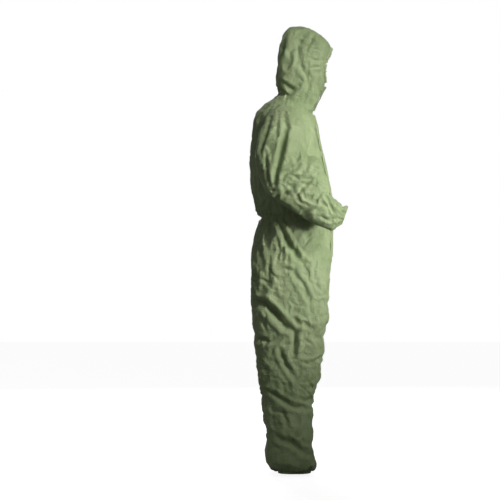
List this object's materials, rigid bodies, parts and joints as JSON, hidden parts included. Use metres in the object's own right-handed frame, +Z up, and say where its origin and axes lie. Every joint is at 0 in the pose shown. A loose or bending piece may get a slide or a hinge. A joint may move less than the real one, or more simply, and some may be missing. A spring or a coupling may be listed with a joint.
{
  "type": "chemical protective suit",
  "caption": "Hooded one-piece chemical protective coverall, standing as worn, with a zip under a storm flap and elasticated face, waist, wrists and ankles.",
  "frame": {"origin": "the point between the wearer's shoulders, on the suit's mid-plane, 1440 mm above the trouser hems", "axes": "+Z up, +X the way the wearer faces, +Y the wearer's left"},
  "size_m": [0.3881, 0.64, 1.798],
  "materials": {
    "laminate": "low-gloss coated non-woven",
    "seam_tape": "smooth welded tape",
    "elastic": "knitted",
    "zip_tape": "woven",
    "nylon": "moulded nylon",
    "enamelled_metal": "enamelled zinc",
    "release_liner": "silicone-coated film"
  },
  "bodies": {
    "torso": {"front_panel_left": "laminate", "front_panel_right": "laminate", "back_panel_left": "laminate", "back_panel_right": "laminate", "side_seam_tape_left": "seam_tape", "side_seam_tape_right": "seam_tape", "centre_back_tape": "seam_tape", "crotch_gusset": "laminate", "waist_elastic": "elastic", "zip_tape_left": "zip_tape", "zip_tape_right": "zip_tape", "zip_teeth_left": "nylon", "zip_teeth_right": "nylon", "zip_top_stop_left": "enamelled_metal", "zip_top_stop_right": "enamelled_metal", "zip_bottom_stop": "enamelled_metal", "storm_flap_lower": "laminate"},
    "storm_flap": {"storm_flap_upper": "laminate", "storm_flap_adhesive": "release_liner"},
    "slider": {"zip_slider": "enamelled_metal"},
    "pull": {"zip_pull": "nylon"},
    "hood": {"hood_side_left": "laminate", "hood_side_right": "laminate", "hood_centre_panel": "laminate", "hood_throat_panel": "laminate", "face_elastic": "elastic"},
    "chin_flap": {"chin_flap": "laminate", "chin_flap_adhesive": "release_liner"},
    "upper_sleeve_left": {"upper_sleeve_left": "laminate"},
    "forearm_left": {"forearm_sleeve_left": "laminate", "cuff_hem_left": "laminate", "wrist_elastic_left": "elastic"},
    "thigh_left": {"thigh_front_left": "laminate", "thigh_back_left": "laminate"},
    "shin_left": {"shin_front_left": "laminate", "shin_back_left": "laminate", "ankle_hem_left": "laminate", "ankle_elastic_left": "elastic"},
    "upper_sleeve_right": {"upper_sleeve_right": "laminate"},
    "forearm_right": {"forearm_sleeve_right": "laminate", "cuff_hem_right": "laminate", "wrist_elastic_right": "elastic"},
    "thigh_right": {"thigh_front_right": "laminate", "thigh_back_right": "laminate"},
    "shin_right": {"shin_front_right": "laminate", "shin_back_right": "laminate", "ankle_hem_right": "laminate", "ankle_elastic_right": "elastic"}
  },
  "joints": [
    {"name": "hood_tip", "type": "hinge", "parent": "torso", "child": "hood", "pos_m": [-0.054, 0, 0.079], "axis": [0, 1, 0], "range_deg": [-70, 0]},
    {"name": "chin_flap_open", "type": "hinge", "parent": "hood", "child": "chin_flap", "pos_m": [0.0845, 0.0465, 0.022], "axis": [0.4138, 0, 0.9104], "range_deg": [0, 100]},
    {"name": "storm_flap_open", "type": "hinge", "parent": "torso", "child": "storm_flap", "pos_m": [0.09229, 0.026, -0.00394], "axis": [-0.2103, 0, 0.9776], "range_deg": [0, 100]},
    {"name": "zip_slide", "type": "slide", "parent": "torso", "child": "slider", "axis": [0.2103, 0, -0.9776], "range_m": [0, 0.29]},
    {"name": "pull_swing", "type": "hinge", "parent": "slider", "child": "pull", "pos_m": [0.09758, 0, -0.01282], "axis": [0, -1, 0], "range_deg": [0, 10]},
    {"name": "shoulder_left", "type": "hinge", "parent": "torso", "child": "upper_sleeve_left", "pos_m": [-0.025, 0.258, -0.078], "axis": [0, 1, 0], "range_deg": [-80, 25]},
    {"name": "elbow_left", "type": "hinge", "parent": "upper_sleeve_left", "child": "forearm_left", "pos_m": [-0.084, 0.258, -0.288], "axis": [0, 1, 0], "range_deg": [0, 60]},
    {"name": "hip_left", "type": "hinge", "parent": "torso", "child": "thigh_left", "pos_m": [0.163, 0.1015, -0.578], "axis": [0, 1, 0], "range_deg": [-60, 0]},
    {"name": "knee_left", "type": "hinge", "parent": "thigh_left", "child": "shin_left", "pos_m": [-0.14, 0.1015, -0.892], "axis": [0, 1, 0], "range_deg": [0, 80]},
    {"name": "shoulder_right", "type": "hinge", "parent": "torso", "child": "upper_sleeve_right", "pos_m": [-0.025, -0.258, -0.078], "axis": [0, 1, 0], "range_deg": [-80, 25]},
    {"name": "elbow_right", "type": "hinge", "parent": "upper_sleeve_right", "child": "forearm_right", "pos_m": [-0.084, -0.258, -0.288], "axis": [0, 1, 0], "range_deg": [0, 60]},
    {"name": "hip_right", "type": "hinge", "parent": "torso", "child": "thigh_right", "pos_m": [0.163, -0.1015, -0.578], "axis": [0, 1, 0], "range_deg": [-60, 0]},
    {"name": "knee_right", "type": "hinge", "parent": "thigh_right", "child": "shin_right", "pos_m": [-0.14, -0.1015, -0.892], "axis": [0, 1, 0], "range_deg": [0, 80]}
  ]
}
